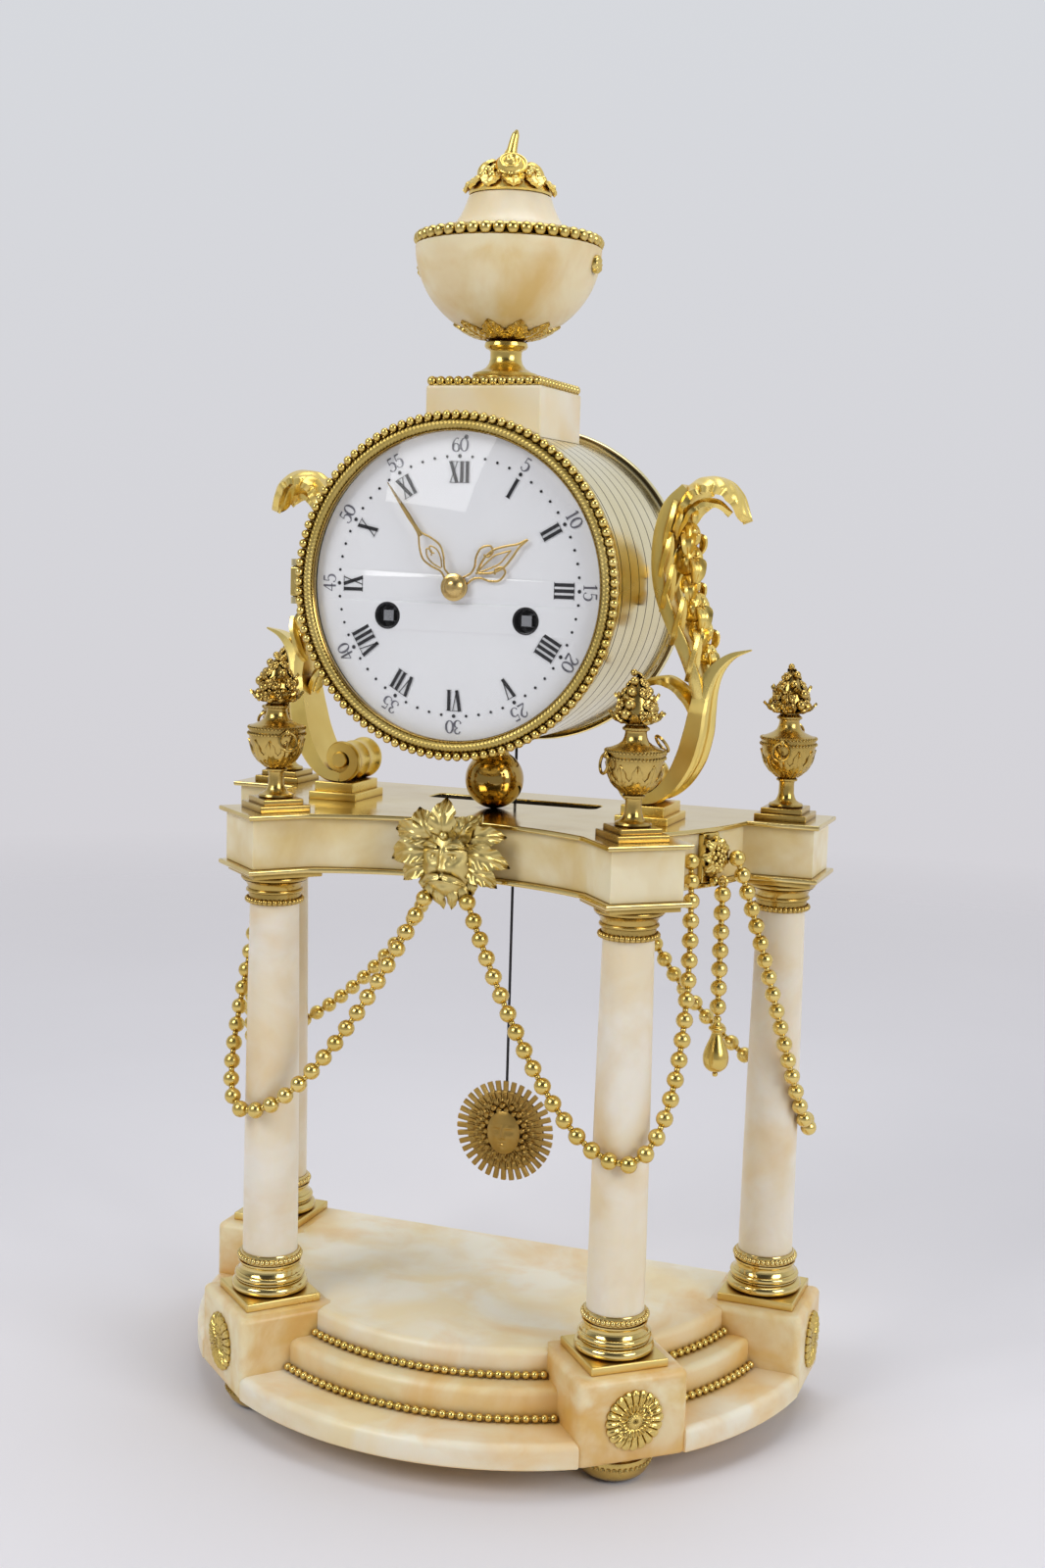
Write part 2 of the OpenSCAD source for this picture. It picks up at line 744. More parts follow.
// Scroll brackets: a plinth, a volute, an S-shaped strap with leaves and a berry garland.
// Their points lie outward from the drum's side
volute = [1.5, deck_z + 17];
volute_r = 9.8;
scroll_waist = 3;
scroll_curves = [
    [[1.5, deck_z + 7.4], [18, deck_z + 7.4], [29.5, deck_z + 26], [29.3, deck_z + 49]],
    [[29.3, deck_z + 49], [29, drum_z - 24], [13, drum_z - 16], [scroll_waist + 5, drum_z + 2]],
    [[scroll_waist + 5, drum_z + 2], [6, drum_z + 14], [9, drum_z + 25], [16, drum_z + 30]],
    [[16, drum_z + 30], [26, drum_z + 39], [33, drum_z + 39], [41, drum_z + 29.5]],
    [[41, drum_z + 29.5], [39, drum_z + 43], [30, drum_z + 48], [22, drum_z + 46]],
    [[22, drum_z + 46], [8, drum_z + 43], [2, drum_z + 28], [scroll_waist, drum_z + 4]],
    [[scroll_waist, drum_z + 4], [4, drum_z - 14], [20.5, drum_z - 24], [20, deck_z + 46]],
    [[20, deck_z + 46], [20, deck_z + 30], [13, deck_z + 19], [6, deck_z + 14]]
];
outer_leaf_curves = [
    [[28.6, deck_z + 45], [29, drum_z - 30], [34, drum_z - 21], [43, drum_z - 20.5]],
    [[43, drum_z - 20.5], [32, drum_z - 17], [26, drum_z - 20], [23, drum_z - 30]]
];
inner_leaf_curves = [
    [[20.5, deck_z + 48], [18, deck_z + 60], [8, deck_z + 61], [-0.2, deck_z + 57]],
    [[-0.2, deck_z + 57], [6, deck_z + 66], [16, deck_z + 68], [22, deck_z + 62]]
];
curve_steps = 10;
scroll_boss_r = 3.2;
garland_curve = [[15.5, drum_z + 25], [13.5, drum_z + 8], [17, drum_z - 6], [23, drum_z - 20]];
garland_n = 6;
garland_r = 5;
plinth_w = 20;
plinth_d = 26;
plinth_h = 3.2;
scroll_x = 4;
module scroll_profile(curves, w) {
    translate([0, w / 2, 0]) rotate([90, 0, 0]) linear_extrude(w) polygon(outline(curves, curve_steps));
}

module scroll_right_shape() {
    translate([0, drum_mid, 0]) difference() {
        translate([drum_r, 0, 0]) {
            translate([scroll_x - plinth_w / 2, -plinth_d / 2, deck_z]) cube([plinth_w, plinth_d, plinth_h]);
            translate([scroll_x - plinth_w / 2 + 1, -plinth_d / 2 + 1, deck_z])
                cube([plinth_w - 2, plinth_d - 2, 2 * plinth_h + 1.2]);
            translate([volute[0], 0, volute[1]]) along_y(-plinth_d / 2 + 1, plinth_d / 2 - 1, volute_r);
            scroll_profile(scroll_curves, scroll_w);
            scroll_profile(outer_leaf_curves, 0.7 * scroll_w);
            scroll_profile(inner_leaf_curves, 0.7 * scroll_w);
            translate([-3, 0, drum_z + 2]) rotate([0, 90, 0])
                cylinder(r = scroll_boss_r, h = scroll_waist + 5);
            for (i = [0 : garland_n - 1]) {
                p = curve(garland_curve, i / (garland_n - 1));
                translate([p[0], 0, p[1]]) sphere(r = garland_r);
            }
        }
        translate([0, -drum_len, drum_z]) along_y(0, 2 * drum_len, drum_r + running_gap);
    }
}

module scroll_right() {
    color(gilt) place() scroll_right_shape();
}

module scroll_left() {
    color(gilt) place() mirror([1, 0, 0]) scroll_right_shape();
}

// Drum: a tube with turned grooves, a front flange, a rear ring, hinge ears and lugs for the movement
groove_n = 7;
groove_w = 0.6;
groove_t = 0.35;
flange_r = bezel_r - 1.5;
flange_t = 3;
rear_ring_r = bezel_r - 0.4;
rear_ring_t = 6;
lug_w = 8;
lug_t = 3;
hinge_r = 1.8;
hinge_pin_r = 1;
hinge_half = 6;
ear_h = 2.7;
hinge_x = bezel_r + 2.4;
front_hinge_y = drum_front + 1;
rear_hinge_y = drum_back + 1;
drum_slot_half = 16;
module hinge_ears(y, reach) {
    for (side = [0, 1]) {
        translate([0, 0, drum_z]) mirror([0, 0, side]) translate([hinge_x, y, hinge_half + seat_gap]) {
            cylinder(r = hinge_r, h = ear_h);
            translate([-reach, 0.8 - hinge_r, 0]) cube([reach, 2 * (hinge_r - 0.8), ear_h]);
        }
    }
    translate([hinge_x, y, drum_z - hinge_half - ear_h])
        cylinder(r = hinge_pin_r, h = 2 * (hinge_half + ear_h));
}

module drum_shell() {
    color(brass) place() difference() {
        union() {
            translate([0, 0, drum_z]) along_y(drum_front, drum_back, drum_r, $fn = 96);
            translate([0, 0, drum_z]) along_y(drum_front, drum_front + flange_t, flange_r);
            translate([0, drum_back - rear_ring_t / 2, drum_z]) rotate([-90, 0, 0]) rotate_extrude($fn = 96)
                translate([rear_ring_r - rear_ring_t / 2, 0]) circle(d = rear_ring_t);
            mirror([1, 0, 0]) hinge_ears(front_hinge_y, hinge_x - drum_r + 0.5);
            mirror([1, 0, 0]) hinge_ears(rear_hinge_y - 1.6, hinge_x - drum_r + 0.5);
        }
        for (i = [1 : groove_n]) {
            translate([0, drum_front + drum_len * i / (groove_n + 1.5), drum_z]) rotate([-90, 0, 0])
                rotate_extrude($fn = 96) translate([drum_r - groove_t, 0]) square([1, groove_w]);
        }
        translate([0, 0, drum_z]) along_y(drum_front - 1, drum_back + 1, drum_inner_r, $fn = 96);
        translate([-drum_slot_half, pendulum_y - slot_w / 2, drum_z - drum_r - 5])
            cube([2 * drum_slot_half, slot_w, drum_r / 2]);
    }
    color(brass) place() for (side = [0, 1]) {
        mirror([side, 0, 0]) intersection() {
            translate([movement_r - 2, front_inner, drum_z - lug_w / 2]) cube([drum_r, lug_t, lug_w]);
            translate([0, 0, drum_z]) along_y(drum_front, drum_back, drum_inner_r + 0.4);
        }
    }
}

// Rear door: a turned disc on a side hinge, with a knob
rear_gap = 0.3;
rear_door_t = 1.4;
module rear_door() {
    door_r = drum_inner_r + 1.2;
    y = drum_back + rear_gap;
    color(brass) place() mirror([1, 0, 0]) difference() {
        union() {
            translate([0, 0, drum_z]) along_y(y, y + rear_door_t, door_r, $fn = 96);
            translate([0, y + rear_door_t, drum_z]) rotate([-90, 0, 0]) rotate_extrude($fn = 96) {
                translate([door_r - 2, 0]) circle(r = 1);
                translate([door_r / 2, 0]) circle(r = 0.8);
            }
            translate([8 - door_r, y + rear_door_t, drum_z]) rotate([-90, 0, 0]) cylinder(r = 2.4, h = 3);
            translate([hinge_x, rear_hinge_y - 1.6, drum_z - hinge_half])
                cylinder(r = hinge_r, h = 2 * hinge_half);
            translate([door_r - 3, y, drum_z - hinge_half])
                cube([hinge_x - door_r + 3, rear_door_t, 2 * hinge_half]);
        }
        translate([hinge_x, rear_hinge_y - 1.6, drum_z - hinge_half - 1])
            cylinder(r = hinge_pin_r + running_gap, h = 2 * hinge_half + 2);
    }
}

// Front bezel: a beaded, milled ring on a side hinge
bezel_bead_r = 1.7;
bezel_bead_u = 4.2;
bezel_inner = dial_r - 0.3;
lip_r = bezel_inner - 1.5;
lip_u = 4.2;
lip_t = 0.9;
module front_bezel() {
    color(gilt) place() mirror([1, 0, 0]) difference() {
        union() {
            translate([0, drum_front, drum_z]) rotate([90, 0, 0]) rotate_extrude($fn = 96) {
                translate([bezel_inner, rear_gap])
                    square([bezel_r - 1 - bezel_inner, bezel_bead_u - rear_gap]);
                translate([bezel_r - bezel_bead_r, bezel_bead_u]) circle(r = bezel_bead_r);
                translate([bezel_inner + 2.2, bezel_bead_u]) circle(r = 2.1);
                translate([lip_r, lip_u]) square([bezel_inner - lip_r + 1, lip_t]);
            }
            translate([hinge_x, front_hinge_y, drum_z - hinge_half])
                cylinder(r = hinge_r, h = 2 * hinge_half);
            translate([bezel_r - 3, drum_front - rear_gap - 2, drum_z - hinge_half])
                cube([hinge_x - bezel_r + 3, 2, 2 * hinge_half]);
            translate([hinge_x - hinge_r, drum_front - rear_gap - 2, drum_z - hinge_half])
                cube([2 * hinge_r, 2 + rear_gap + 1, 2 * hinge_half]);
        }
        translate([hinge_x, front_hinge_y, drum_z - hinge_half - 1])
            cylinder(r = hinge_pin_r + running_gap, h = 2 * hinge_half + 2);
    }
}

module dial_glass() {
    edge_r = bezel_inner - seat_gap;
    dome_r = (edge_r * edge_r + glass_rise * glass_rise) / (2 * glass_rise);
    edge_u = lip_u - 0.7;
    color(crystal, 0.4) place() translate([0, drum_front - edge_u + dome_r - glass_rise, drum_z])
        rotate([90, 0, 0])
        rotate_extrude($fn = 96) intersection() {
            difference() {
                circle(r = dome_r);
                circle(r = dome_r - glass_t);
            }
            translate([0, dome_r - glass_rise - glass_t]) square([edge_r, glass_rise + 2 * glass_t]);
        }
}

// Dial: an enamel disc with a centre hole, two winding holes and three feet to the front plate
hour_pipe_r = 3.2;
dial_foot_r = 1.6;
dial_foot_at = 50;
going_at = [winding_x, -winding_drop];
strike_at = [-winding_x, -winding_drop];
module dial() {
    color(enamel) place() {
        difference() {
            translate([0, 0, drum_z]) along_y(dial_y, dial_back, dial_r, $fn = 96);
            translate([0, 0, drum_z]) along_y(dial_y - 1, dial_back + 1, hour_pipe_r + 0.4);
            for (p = [going_at, strike_at]) {
                at_arbor(p) along_y(dial_y - 1, dial_back + 1, winding_hole_r);
            }
        }
        for (a = [30, 150, 270]) {
            at_arbor(dial_foot_at * [cos(a), sin(a)]) along_y(dial_back, front_plate_y, dial_foot_r);
        }
    }
}

// Wheel trains: arbors placed so that wheel tips stand one mesh gap apart
function meet(a, ra, b, rb, side) =
    let (d = norm(b - a), e = (b - a) / d, t = (ra * ra - rb * rb + d * d) / (2 * d),
        h = sqrt(ra * ra - t * t))
    a + t * e + side * h * [-e[1], e[0]];
centre_at = [0, 0];
pinion_r = 3.2;
second_wheel_r = 16;
centre_wheel_r = 17;
third_wheel_r = 13.5;
escape_wheel_r = 11;
pin_wheel_r = 14;
escape_at = [0, 27];
anchor_at = [0, 43];
second_at = meet(
    centre_at, second_wheel_r + pinion_r + mesh_gap,
    going_at, barrel_wheel_r + pinion_r + mesh_gap,
    1
);
third_at = meet(
    centre_at, centre_wheel_r + pinion_r + mesh_gap,
    escape_at, third_wheel_r + pinion_r + mesh_gap,
    1
);
pin_at = strike_at + (barrel_wheel_r + pinion_r + mesh_gap) * [cos(35), -sin(35)];
fly_at = pin_at + (pin_wheel_r + pinion_r + mesh_gap) * [cos(20), -sin(20)];
cannon_r = 3.6;
motion_wheel_r = 10.8;
motion_pinion_r = 2.8;
motion_at = [0, cannon_r + motion_wheel_r + mesh_gap];
hour_wheel_r = motion_at[1] - motion_pinion_r - mesh_gap;
hammer_at = [-30, 36];
pivot_r = 1;
arbor_r = 1.5;
wheel_t = 1.5;
tooth_h = 0.8;

// Depths of the wheels behind the front plate's inner face
centre_u = front_inner + 3;
barrel_u = front_inner + 8;
barrel_len = 13;
great_u = barrel_u + barrel_len;
great_t = 2;
upper_u = great_u + great_t + 4;
third_u = upper_u + wheel_t + 1;
escape_u = front_inner + 15;

// A toothed disc from y to y + t, with its hub hole left to the caller
module toothed(n, tip_r, y, t) {
    root_r = tip_r - tooth_h;
    pitch = 360 / n;
    translate([0, y + t, 0]) rotate([90, 0, 0]) linear_extrude(t) polygon([
        for (i = [0 : n - 1]) for (k = [[0, root_r], [0.2, tip_r], [0.45, tip_r], [0.65, root_r]])
            k[1] * [cos(pitch * (i + k[0])), sin(pitch * (i + k[0]))]
    ]);
}

// A wheel crossed out into spokes
spoke_n = 5;
module crossed(n, tip_r, y, t) {
    hole_r = 0.22 * tip_r;
    difference() {
        toothed(n, tip_r, y, t);
        for (i = [1 : spoke_n]) {
            rotate([0, 360 * i / spoke_n, 0]) translate([0.58 * tip_r, 0, 0])
                along_y(y - 1, y + t + 1, hole_r);
        }
    }
}

// An arbor between the plates with a pivot in each
module arbor() {
    along_y(front_inner + seat_gap, back_inner - seat_gap, arbor_r);
    along_y(front_plate_y, back_outer, pivot_r);
}

module plate_disc(y) {
    translate([0, 0, drum_z]) along_y(y, y + movement_plate_t, movement_r, $fn = 96);
}

module pivot_holes(points, y) {
    for (p = points) {
        at_arbor(p) along_y(y - 1, y + movement_plate_t + 1, pivot_r + running_gap);
    }
}

train_arbors = [second_at, third_at, escape_at, pin_at, fly_at];
winding_arbor_r = 2.6;
winding_pivot_r = 1.8;
pillar_at = 50;
pillar_angles = [58, 122, 238, 302];
pillar_r = 3;
module front_plate() {
    color(brass) place() difference() {
        union() {
            plate_disc(front_plate_y);
            at_arbor(motion_at) along_y(front_plate_y - 5.6, front_plate_y, pivot_r);
        }
        pivot_holes(concat(train_arbors, [anchor_at]), front_plate_y);
        at_arbor(hammer_at) along_y(front_plate_y - 1, front_inner + 1, pivot_r + running_gap);
        at_arbor(centre_at) along_y(front_plate_y - 1, front_inner + 1, arbor_r + running_gap);
        for (p = [going_at, strike_at]) {
            at_arbor(p) along_y(front_plate_y - 1, front_inner + 1, winding_arbor_r + running_gap);
        }
    }
}

module back_plate() {
    color(brass) place() difference() {
        plate_disc(back_inner);
        pivot_holes(concat(train_arbors, [centre_at]), back_inner);
        for (p = [anchor_at, hammer_at]) {
            at_arbor(p) along_y(back_inner - 1, back_outer + 1, arbor_r + running_gap);
        }
        for (p = [going_at, strike_at]) {
            at_arbor(p) along_y(back_inner - 1, back_outer + 1, winding_pivot_r + running_gap);
        }
    }
}

module plate_pillars() {
    color(brass) place() for (a = pillar_angles) {
        at_arbor(pillar_at * [cos(a), sin(a)]) {
            along_y(front_inner, back_inner, pillar_r);
            translate([0, (front_inner + back_inner) / 2, 0]) rotate([-90, 0, 0]) rotate_extrude()
                translate([pillar_r, 0]) circle(r = 1);
        }
    }
}

module barrel() {
    difference() {
        union() {
            along_y(barrel_u, great_u, barrel_wheel_r - 2);
            toothed(84, barrel_wheel_r, great_u, great_t);
        }
        along_y(barrel_u - 1, great_u + great_t + 1, winding_arbor_r + running_gap);
    }
}

module going_barrel() {
    color(brass) place() at_arbor(going_at) barrel();
}

module strike_barrel() {
    color(brass) place() at_arbor(strike_at) barrel();
}

ratchet_r = 7;
module winding_arbor() {
    square_y = dial_y + 0.5;
    along_y(front_plate_y - 3, back_inner - seat_gap, winding_arbor_r);
    along_y(front_plate_y, back_outer, winding_pivot_r);
    toothed(24, ratchet_r, front_plate_y - seat_gap - wheel_t, wheel_t);
    translate([-winding_square / 2, square_y, -winding_square / 2])
        cube([winding_square, front_plate_y - 2.9 - square_y, winding_square]);
}

module going_winding_arbor() {
    color(steel) place() at_arbor(going_at) winding_arbor();
}

module strike_winding_arbor() {
    color(steel) place() at_arbor(strike_at) winding_arbor();
}

module second_wheel() {
    color(brass) place() at_arbor(second_at) {
        arbor();
        toothed(10, pinion_r, great_u - 1.5, great_t + 3);
        crossed(80, second_wheel_r, upper_u, wheel_t);
    }
}

cannon_pipe_r = 1.9;
hour_hand_y = dial_y - 2.2;
minute_hand_y = hour_hand_y - 1.7;
hand_t = 0.8;
module centre_wheel() {
    color(brass) place() at_arbor(centre_at) {
        along_y(front_plate_y - 2, back_inner - seat_gap, arbor_r);
        along_y(front_plate_y, back_outer, pivot_r);
        toothed(10, pinion_r, upper_u - 1.5, wheel_t + 2);
        crossed(84, centre_wheel_r, centre_u, wheel_t);
        toothed(12, cannon_r, front_plate_y - 3, wheel_t + 1);
        along_y(minute_hand_y - 1.5, front_plate_y - 1, cannon_pipe_r);
    }
}

module third_wheel() {
    color(brass) place() at_arbor(third_at) {
        arbor();
        toothed(10, pinion_r, centre_u - 1, wheel_t + 2);
        crossed(80, third_wheel_r, third_u, wheel_t);
    }
}

module escape_wheel() {
    color(brass) place() at_arbor(escape_at) {
        arbor();
        toothed(8, pinion_r, third_u - 1, wheel_t + 2);
        crossed(40, escape_wheel_r, escape_u, wheel_t);
    }
}

module hour_wheel() {
    y = front_plate_y - 5.6;
    color(brass) place() at_arbor(centre_at) difference() {
        union() {
            toothed(40, hour_wheel_r, y, wheel_t);
            along_y(hour_hand_y - 0.4, y + wheel_t, hour_pipe_r);
        }
        along_y(hour_hand_y - 1, y + wheel_t + 1, cannon_pipe_r + running_gap);
    }
}

module motion_wheel() {
    y = front_plate_y - 3;
    color(brass) place() at_arbor(motion_at) difference() {
        union() {
            crossed(36, motion_wheel_r, y, wheel_t);
            toothed(10, motion_pinion_r, y - 2.4, wheel_t + 2.4);
        }
        along_y(y - 3, y + wheel_t + 1, pivot_r + running_gap);
    }
}

// Hands: pierced outlines, set at six minutes to two
minute_angle = 324;
hour_angle = 57;
module hand_plate(angle, y) {
    translate([0, y + hand_t, 0]) rotate([0, angle, 0]) rotate([90, 0, 0]) linear_extrude(hand_t) children();
}

module minute_hand() {
    len = minute_hand_len;
    color(gilt) place() at_arbor(centre_at) difference() {
        union() {
            hand_plate(minute_angle, minute_hand_y) {
                circle(r = 4.4);
                polygon([[-1.1, 0], [-0.8, 0.34 * len], [0, len], [0.8, 0.34 * len], [1.1, 0]]);
                translate([0, 0.24 * len]) difference() {
                    circle(r = 2.6);
                    circle(r = 1.6);
                }
                translate([0, 0.42 * len]) difference() {
                    circle(r = 3.4);
                    circle(r = 2.4);
                }
            }
            along_y(minute_hand_y - 2.4, minute_hand_y, 3.4);
        }
        along_y(minute_hand_y - 1.6, minute_hand_y + 1, cannon_pipe_r + running_gap);
    }
}

module hour_hand() {
    len = hour_hand_len;
    color(gilt) place() at_arbor(centre_at) difference() {
        union() {
            hand_plate(hour_angle, hour_hand_y) {
                circle(r = 5);
                polygon([[-1.1, 0], [-0.8, 0.6 * len], [0, len], [0.8, 0.6 * len], [1.1, 0]]);
                for (side = [-1, 1]) {
                    translate([3.2 * side, 0.5 * len]) difference() {
                        circle(r = 3.8);
                        circle(r = 2.8);
                    }
                }
                translate([0, 0.76 * len]) difference() {
                    circle(r = 3.4);
                    circle(r = 2.4);
                }
            }
            along_y(hour_hand_y, hour_hand_y + 1.4, 4.4);
        }
        along_y(hour_hand_y - 1, hour_hand_y + 2, hour_pipe_r + running_gap);
    }
}

// Anchor: pallets held over the escape wheel, and a crutch that carries the pendulum rod along
anchor_swing = 3.5;
crutch_w = 3;
crutch_len = 36;
crutch_y = back_outer + 3;
rod_r = 0.6;
module anchor() {
    drop = anchor_at[1] - escape_at[1];
    arm_drop = drop - 4;
    wheel_room = escape_wheel_r + mesh_gap + drop * sin(anchor_swing);
    color(steel) place() at_arbor(anchor_at) {
        along_y(front_inner + seat_gap, crutch_y + crutch_w, arbor_r);
        along_y(front_plate_y, front_inner + 1, pivot_r);
        difference() {
            translate([-escape_wheel_r, escape_u, -arm_drop])
                cube([2 * escape_wheel_r, wheel_t, arm_drop + 2]);
            translate([0, 0, -drop]) along_y(escape_u - 1, escape_u + wheel_t + 1, wheel_room);
            for (side = [-1, 1]) {
                translate([side * escape_wheel_r, 0, 2])
                    along_y(escape_u - 1, escape_u + wheel_t + 1, 0.6 * escape_wheel_r);
            }
        }
        translate([-crutch_w / 2, crutch_y, -crutch_len]) cube([crutch_w, crutch_w, crutch_len]);
        difference() {
            translate([-crutch_w, crutch_y, -crutch_len - 4])
                cube([2 * crutch_w, pendulum_y + 3 - crutch_y, 4.1]);
            translate([-rod_r - 0.3, pendulum_y - rod_r - 0.6, -crutch_len - 5])
                cube([2 * rod_r + 0.6, 10, 7]);
        }
    }
}

// Suspension: a cock on the back plate with a pin for the pendulum
cock_rise = 4;
cheek_t = 1.6;
eye_t = 2.8;
eye_r = 2.6;
module suspension_cock() {
    back = pendulum_y + eye_t / 2 + seat_gap;
    front = pendulum_y - eye_t / 2 - seat_gap;
    color(brass) place() at_arbor(anchor_at) {
        translate([-4, back_outer, cock_rise]) cube([8, back + cheek_t - back_outer, 4]);
        for (y = [back, front - cheek_t]) {
            translate([-4, y, -2.5]) cube([8, cheek_t, cock_rise + 3]);
        }
        along_y(front - cheek_t, back + cheek_t, pivot_r);
    }
}

module pendulum_rod() {
    color(steel) place() at_arbor(anchor_at) difference() {
        union() {
            along_y(pendulum_y - eye_t / 2, pendulum_y + eye_t / 2, eye_r);
            translate([0, pendulum_y, -pendulum_len + 0.7 * bob_r])
                cylinder(r = rod_r, h = pendulum_len - 0.7 * bob_r - eye_r / 2);
        }
        along_y(pendulum_y - eye_t, pendulum_y + eye_t, pivot_r + running_gap);
    }
}

module pendulum_bob() {
    disc_r = 0.72 * bob_r;
    ray_w = 0.62 * PI * bob_r / bob_rays;
    color(gilt) place() at_arbor(anchor_at) translate([0, pendulum_y + bob_t / 2, -pendulum_len])
        rotate([90, 0, 0]) {
        difference() {
            linear_extrude(bob_t) {
                circle(r = disc_r);
                for (i = [1 : bob_rays]) {
                    rotate(360 * i / bob_rays) polygon([
                        [0.9 * disc_r, -0.8 * ray_w], [bob_r, -ray_w],
                        [bob_r, ray_w], [0.9 * disc_r, 0.8 * ray_w]
                    ]);
                }
            }
            translate([-rod_r - seat_gap, 0.7 * bob_r - seat_gap, -1])
                cube([2 * (rod_r + seat_gap), bob_r, bob_t + 2]);
        }
    }
}

// Strike train: a wheel with lifting pins, a fly, and the hammer and bell behind the back plate
lift_pin_n = 8;
module pin_wheel() {
    color(brass) place() at_arbor(pin_at) {
        arbor();
        toothed(10, pinion_r, great_u - 1.5, great_t + 3);
        toothed(70, pin_wheel_r, upper_u, wheel_t);
        for (i = [1 : lift_pin_n]) {
            rotate([0, 360 * i / lift_pin_n, 0]) translate([0.7 * pin_wheel_r, 0, 0])
                along_y(upper_u, upper_u + wheel_t + 2.5, 0.6);
        }
    }
}

fly_half = 6.5;
module fly() {
    color(brass) place() at_arbor(fly_at) {
        arbor();
        toothed(8, pinion_r, upper_u - 1, wheel_t + 2);
        translate([-fly_half, barrel_u, -0.5]) cube([2 * fly_half, 10, 1]);
    }
}

bell_r = 40;
bell_y = pendulum_y + 6;
bell_depth = 10.5;
bell_wall = 1.6;
hammer_len = 13.5;
hammer_head_r = 4;
hammer_lean = 39;
module hammer() {
    y = bell_y + 1;
    head = hammer_len * [-sin(hammer_lean), -cos(hammer_lean)];
    color(steel) place() at_arbor(hammer_at) {
        along_y(front_inner + seat_gap, y + 3, arbor_r);
        along_y(front_plate_y, front_inner + 1, pivot_r);
        rotate([0, hammer_lean, 0]) translate([-1.2, y, -hammer_len]) cube([2.4, 3, hammer_len]);
        translate([head[0], 0, head[1]]) along_y(y - 3, y + 5, hammer_head_r);
    }
}

stand_reach = movement_r - 5.8;
stand_turn = 23.5;
stand_at = stand_reach * [cos(stand_turn), sin(stand_turn)];
stand_r = 2.5;
stand_arm_w = 7;
stand_arm_t = 2;
stud_r = 2;
// The dish's outline: radius and drop from the crown, as shares of the bell's radius and depth
bell_dish = [[0.3, 0.04], [0.55, 0.2], [0.78, 0.5], [0.91, 0.76], [1, 1]];
bell_hole_r = stud_r + seat_gap;
function dish(drop) = [for (p = bell_dish) [p[0] * bell_r, -p[1] * (bell_depth - bell_wall) - drop]];
function reversed(v) = [for (i = [len(v) - 1 : -1 : 0]) v[i]];
module bell() {
    crown_y = bell_y + bell_depth;
    arm_y = crown_y + seat_gap;
    color(brass) place() {
        translate([0, crown_y, drum_z]) rotate([-90, 0, 0]) rotate_extrude($fn = 96)
            polygon(concat([[bell_hole_r, 0]], dish(0),
                reversed(dish(bell_wall)), [[bell_hole_r, -bell_wall]]));
        at_arbor(stand_at) along_y(back_outer, arm_y + stand_arm_t / 2, stand_r);
        at_arbor(centre_at) along_y(crown_y - bell_wall - 2, arm_y + stand_arm_t / 2, stud_r);
        at_arbor(centre_at) along_y(crown_y - bell_wall - 2.6, crown_y - bell_wall - 0.6, 2 * stud_r);
        at_arbor(centre_at) rotate([0, -atan2(stand_at[1], stand_at[0]), 0])
            translate([-stand_arm_w / 2, arm_y, -stand_arm_w / 2])
                cube([norm(stand_at) + stand_arm_w, stand_arm_t, stand_arm_w]);
    }
}

// Urn on the drum: a saddled pedestal, a turned foot with leaves, a bowl, a beaded collar, a lid and fruit
module pedestal() {
    side = pedestal_side;
    color(marble) place() difference() {
        translate([-side / 2, drum_mid - side / 2, drum_z + drum_r - side / 4])
            cube([side, side, pedestal_h + side / 4]);
        translate([0, 0, drum_z]) along_y(drum_front - 1, drum_back + 1, drum_r + running_gap, $fn = 96);
    }
}

border_t = 3;
module urn_foot() {
    side = pedestal_side - 3;
    h = urn_foot_h;
    color(gilt) place() translate([0, drum_mid, pedestal_z]) {
        difference() {
            translate([-side / 2, -side / 2, 0]) cube([side, side, border_t]);
            translate([border_t - side / 2, border_t - side / 2, -1])
                cube([side - 2 * border_t, side - 2 * border_t, border_t + 2]);
        }
        rotate_extrude() {
            square([17, 0.12 * h]);
            square([5.5, h]);
            translate([13, 0.12 * h]) circle(r = 1.4);
            square([13, 0.16 * h]);
            polygon([[0, 0.16 * h], [12, 0.16 * h], [6.5, 0.34 * h], [6.5, 0.8 * h], [0, 0.8 * h]]);
            translate([6, 0.62 * h]) circle(r = 1.8);
            polygon([[0, 0.78 * h], [7, 0.78 * h], [9.5, h], [0, h]]);
        }
    }
}

module bowl_profile() {
    arc_r = urn_bowl_h;
    intersection() {
        union() {
            translate([urn_r - arc_r, urn_bowl_h]) circle(r = arc_r, $fn = 96);
            square([urn_r - arc_r + 0.01, urn_bowl_h]);
        }
        square([urn_r, urn_bowl_h]);
    }
}

module urn_bowl() {
    color(marble) place() translate([0, drum_mid, urn_bowl_z]) rotate_extrude($fn = 96) bowl_profile();
}

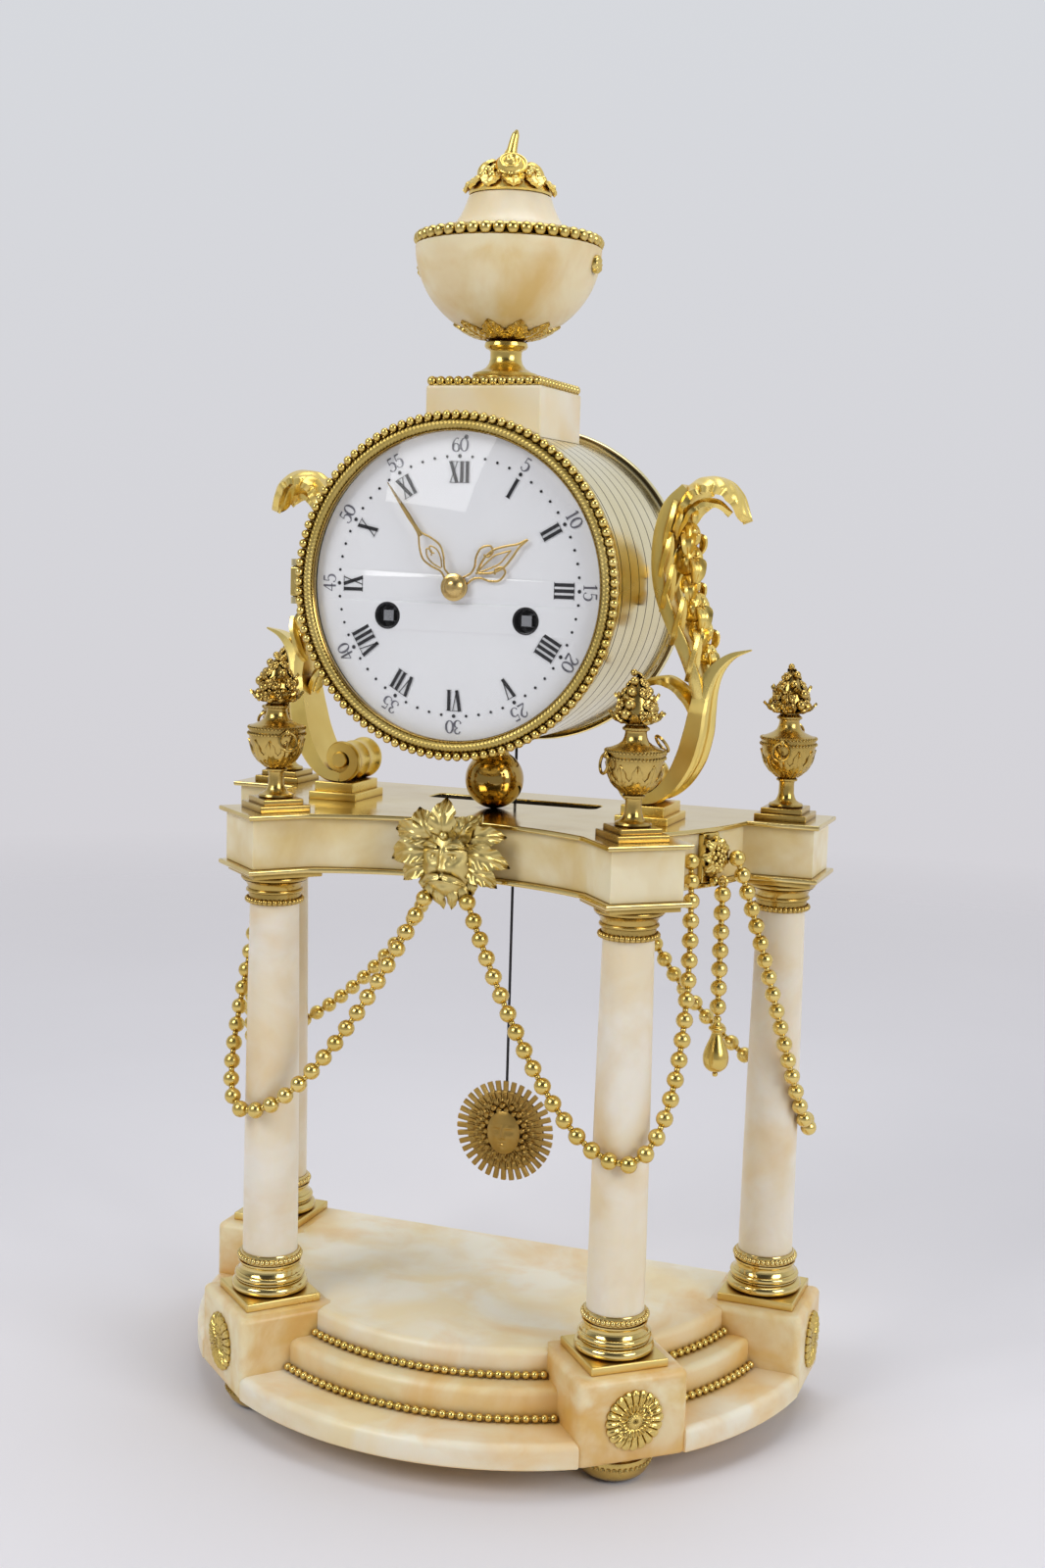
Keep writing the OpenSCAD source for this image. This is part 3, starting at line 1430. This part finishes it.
module urn_collar() {
    ring_r = 0.58 * urn_collar_h;
    color(gilt) place() translate([0, drum_mid, urn_collar_z]) rotate_extrude($fn = 96) {
        square([urn_r - 2, urn_collar_h]);
        translate([urn_r - 1.6, urn_collar_h / 2]) intersection() {
            circle(r = ring_r);
            translate([-ring_r, -urn_collar_h / 2]) square([2 * ring_r, urn_collar_h]);
        }
    }
}

module urn_lid() {
    h = urn_lid_h;
    neck_r = 0.42 * urn_r;
    color(marble) place() translate([0, drum_mid, urn_lid_z]) rotate_extrude($fn = 96) difference() {
        polygon([
            [0, 0], [0.92 * urn_r, 0], [0.88 * urn_r, 0.14 * h],
            [0.66 * urn_r, 0.22 * h], [neck_r, h], [0, h]
        ]);
        translate([neck_r + 0.92 * h, 1.06 * h]) circle(r = 0.95 * h);
    }
}

fruit_n = 9;
module urn_finial() {
    r = 0.42 * urn_r;
    fruit_r = 0.26 * r;
    color(gilt) place() translate([0, drum_mid, finial_z]) {
        cylinder(r = r, h = 0.12 * finial_h);
        cylinder(r1 = 0.95 * r, r2 = 0.45 * r, h = 0.5 * finial_h);
        cylinder(r1 = 0.3 * r, r2 = 0.05 * r, h = finial_h);
        for (i = [1 : fruit_n]) {
            rotate([0, 0, 360 * i / fruit_n]) translate([0.78 * r, 0, 0.2 * finial_h]) sphere(r = fruit_r);
        }
    }
}

feet();
base_blocks();
base_slab();
base_step();
base_platform();
base_rosettes();
step_bead_strings();
column_bases();
column_shafts();
column_capitals();
tie_rods();
frieze_lower_plate();
frieze();
frieze_top_plate();
frieze_mask();
side_straps();
swag_front_left();
swag_front_right();
swag_back_left();
swag_back_right();
drop_left();
drop_right();
corner_urns();
ball_support();
scroll_left();
scroll_right();
drum_shell();
rear_door();
front_bezel();
dial_glass();
dial();
hour_hand();
minute_hand();
hour_wheel();
motion_wheel();
front_plate();
back_plate();
plate_pillars();
going_barrel();
strike_barrel();
going_winding_arbor();
strike_winding_arbor();
second_wheel();
centre_wheel();
third_wheel();
escape_wheel();
anchor();
pendulum_rod();
pendulum_bob();
suspension_cock();
pin_wheel();
fly();
hammer();
bell();
pedestal();
urn_foot();
urn_bowl();
urn_collar();
urn_lid();
urn_finial();
